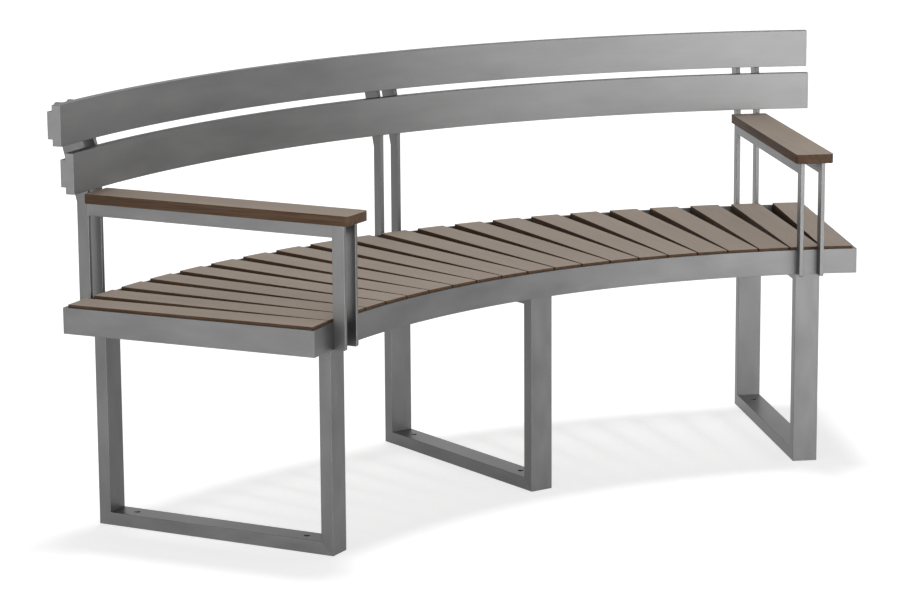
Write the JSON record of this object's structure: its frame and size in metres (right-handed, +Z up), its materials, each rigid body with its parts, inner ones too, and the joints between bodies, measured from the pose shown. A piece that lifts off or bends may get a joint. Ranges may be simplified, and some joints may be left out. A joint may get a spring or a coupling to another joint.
{
  "type": "curved garden bench",
  "caption": "Curved slatted garden bench with radial seat boards, two curved back boards, flat-bar armrests and box-tube leg frames with ground anchor holes.",
  "frame": {"origin": "on the ground, under the middle of the bench's bounding box", "axes": "+X along the bench from its left to its right end as seen from the front, +Y towards the back, +Z up; the concave front of the seat faces -Y and the centre of the arc is on the -Y side"},
  "size_m": [1.8484, 0.7872, 0.819],
  "materials": {
    "frame_metal": "satin, fine brushed, stainless or galvanised look",
    "slat_board": "satin brown wood composite with a fine lengthwise grain, paler from a low viewpoint",
    "screw_steel": "plain stainless"
  },
  "bodies": {
    "root": {"armrest_screws": "screw_steel", "armrest_tabs": "frame_metal", "front_rail": "frame_metal", "front_seat_bearer": "frame_metal", "left_armrest": "slat_board", "left_back_post_left": "frame_metal", "left_back_post_right": "frame_metal", "left_end_rail": "frame_metal", "left_foot_beam": "frame_metal", "left_front_leg": "frame_metal", "left_inner_arm_bar": "frame_metal", "left_inner_front_post": "frame_metal", "left_outer_arm_bar": "frame_metal", "left_outer_front_post": "frame_metal", "left_rear_leg": "frame_metal", "left_top_beam": "frame_metal", "lower_back_board": "frame_metal", "middle_back_post_left": "frame_metal", "middle_back_post_right": "frame_metal", "middle_foot_beam": "frame_metal", "middle_front_leg": "frame_metal", "middle_rear_leg": "frame_metal", "middle_top_beam": "frame_metal", "rear_rail": "frame_metal", "rear_seat_bearer": "frame_metal", "right_armrest": "slat_board", "right_back_post_left": "frame_metal", "right_back_post_right": "frame_metal", "right_end_rail": "frame_metal", "right_foot_beam": "frame_metal", "right_front_leg": "frame_metal", "right_inner_arm_bar": "frame_metal", "right_inner_front_post": "frame_metal", "right_outer_arm_bar": "frame_metal", "right_outer_front_post": "frame_metal", "right_rear_leg": "frame_metal", "right_top_beam": "frame_metal", "seat_slat_01": "slat_board", "seat_slat_02": "slat_board", "seat_slat_03": "slat_board", "seat_slat_04": "slat_board", "seat_slat_05": "slat_board", "seat_slat_06": "slat_board", "seat_slat_07": "slat_board", "seat_slat_08": "slat_board", "seat_slat_09": "slat_board", "seat_slat_10": "slat_board", "seat_slat_11": "slat_board", "seat_slat_12": "slat_board", "seat_slat_13": "slat_board", "seat_slat_14": "slat_board", "seat_slat_15": "slat_board", "seat_slat_16": "slat_board", "seat_slat_17": "slat_board", "seat_slat_18": "slat_board", "seat_slat_19": "slat_board", "seat_slat_20": "slat_board", "seat_slat_21": "slat_board", "slat_screws": "screw_steel", "upper_back_board": "frame_metal"}
  },
  "joints": []
}
